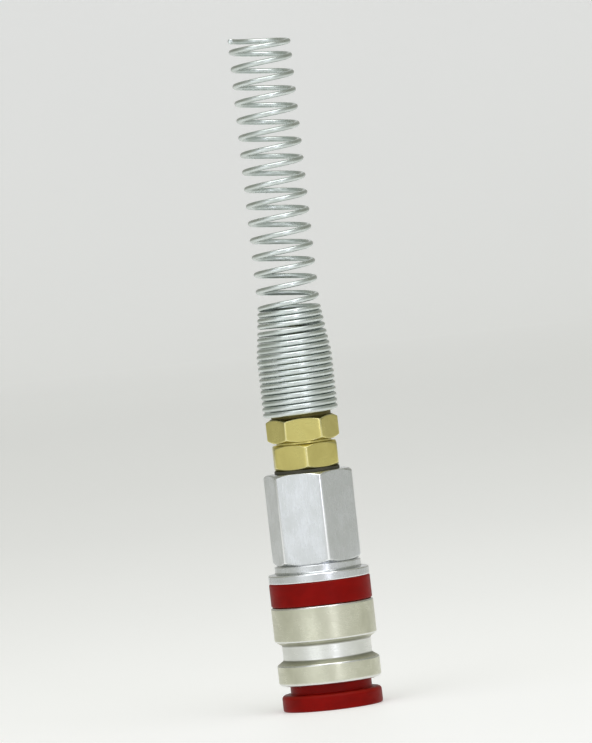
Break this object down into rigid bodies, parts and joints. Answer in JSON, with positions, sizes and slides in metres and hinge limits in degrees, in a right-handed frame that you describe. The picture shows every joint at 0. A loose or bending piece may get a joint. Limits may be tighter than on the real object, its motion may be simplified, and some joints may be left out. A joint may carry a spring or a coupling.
{
  "type": "quick disconnect coupler",
  "caption": "Compressed-air quick disconnect coupler with push sleeve, ball lock and valve, and a brass hose connector with union nut and kink protection spring.",
  "frame": {"origin": "centre of the mouth's front face, which is the bottom of the part as it stands on its front collar", "axes": "+Z along the coupler's axis, from the plug mouth to the hose end; +X to the right of a viewer who looks along +Y"},
  "size_m": [0.0242, 0.0242, 0.1589],
  "materials": {
    "red_plastic": "semi-gloss moulded plastic",
    "nickel_plating": "satin nickel plating, turned",
    "zinc_body": "bright zinc plating",
    "zinc_plated_steel": "zinc-plated turned steel",
    "brass_connector": "machined brass",
    "brass_nut": "machined brass",
    "brass_inner": "turned brass",
    "spring_wire": "zinc-plated spring wire",
    "spring_steel": "plain spring steel",
    "ball_steel": "polished bearing steel",
    "rubber_seal": "nitrile rubber",
    "dark_gasket": "bonded seal"
  },
  "bodies": {
    "root": {"front_collar": "red_plastic", "socket_body": "zinc_plated_steel", "sleeve_spring": "spring_steel", "spring_seat_ring": "spring_steel", "plug_seal": "rubber_seal", "valve_spring": "spring_steel", "valve_spring_retainer": "brass_inner", "rear_body": "zinc_body", "body_seal": "rubber_seal", "rear_band": "red_plastic", "thread_seal": "dark_gasket", "hose_connector": "brass_connector", "union_nut": "brass_nut", "kink_spring": "spring_wire"},
    "sleeve_carrier": {"thrust_washer": "zinc_plated_steel"},
    "sleeve": {"release_sleeve": "nickel_plating", "sleeve_retaining_ring": "spring_steel"},
    "ball_1": {"locking_ball_1": "ball_steel"},
    "ball_2": {"locking_ball_2": "ball_steel"},
    "ball_3": {"locking_ball_3": "ball_steel"},
    "ball_4": {"locking_ball_4": "ball_steel"},
    "ball_5": {"locking_ball_5": "ball_steel"},
    "ball_6": {"locking_ball_6": "ball_steel"},
    "valve": {"valve_poppet": "brass_inner", "valve_seal": "rubber_seal"}
  },
  "joints": [
    {"name": "sleeve_slide", "type": "slide", "parent": "root", "child": "sleeve_carrier", "axis": [0, 0, -1], "range_m": [0, 0.0021], "stiffness_N_per_m": 3000, "springref_m": -0.004, "deforming": ["sleeve_spring"]},
    {"name": "sleeve_spin", "type": "hinge", "parent": "sleeve_carrier", "child": "sleeve", "pos_m": [0, 0, 0.015], "axis": [0, 0, 1], "continuous": true},
    {"name": "valve_slide", "type": "slide", "parent": "root", "child": "valve", "axis": [0, 0, 1], "range_m": [0, 0.006], "stiffness_N_per_m": 800, "springref_m": -0.005, "deforming": ["valve_spring"]},
    {"name": "ball_1_slide", "type": "slide", "parent": "root", "child": "ball_1", "axis": [1, 0, 0], "range_m": [0, 0.0014]},
    {"name": "ball_2_slide", "type": "slide", "parent": "root", "child": "ball_2", "axis": [0.5, 0.866, 0], "range_m": [0, 0.0014]},
    {"name": "ball_3_slide", "type": "slide", "parent": "root", "child": "ball_3", "axis": [-0.5, 0.866, 0], "range_m": [0, 0.0014]},
    {"name": "ball_4_slide", "type": "slide", "parent": "root", "child": "ball_4", "axis": [-1, 0, 0], "range_m": [0, 0.0014]},
    {"name": "ball_5_slide", "type": "slide", "parent": "root", "child": "ball_5", "axis": [-0.5, -0.866, 0], "range_m": [0, 0.0014]},
    {"name": "ball_6_slide", "type": "slide", "parent": "root", "child": "ball_6", "axis": [0.5, -0.866, 0], "range_m": [0, 0.0014]}
  ],
  "couplings": [
    {"joint": "ball_1_slide", "follows": "sleeve_slide", "ratio": 0.66666},
    {"joint": "ball_2_slide", "follows": "sleeve_slide", "ratio": 0.66666},
    {"joint": "ball_3_slide", "follows": "sleeve_slide", "ratio": 0.66666},
    {"joint": "ball_4_slide", "follows": "sleeve_slide", "ratio": 0.66666},
    {"joint": "ball_5_slide", "follows": "sleeve_slide", "ratio": 0.66666},
    {"joint": "ball_6_slide", "follows": "sleeve_slide", "ratio": 0.66666}
  ]
}
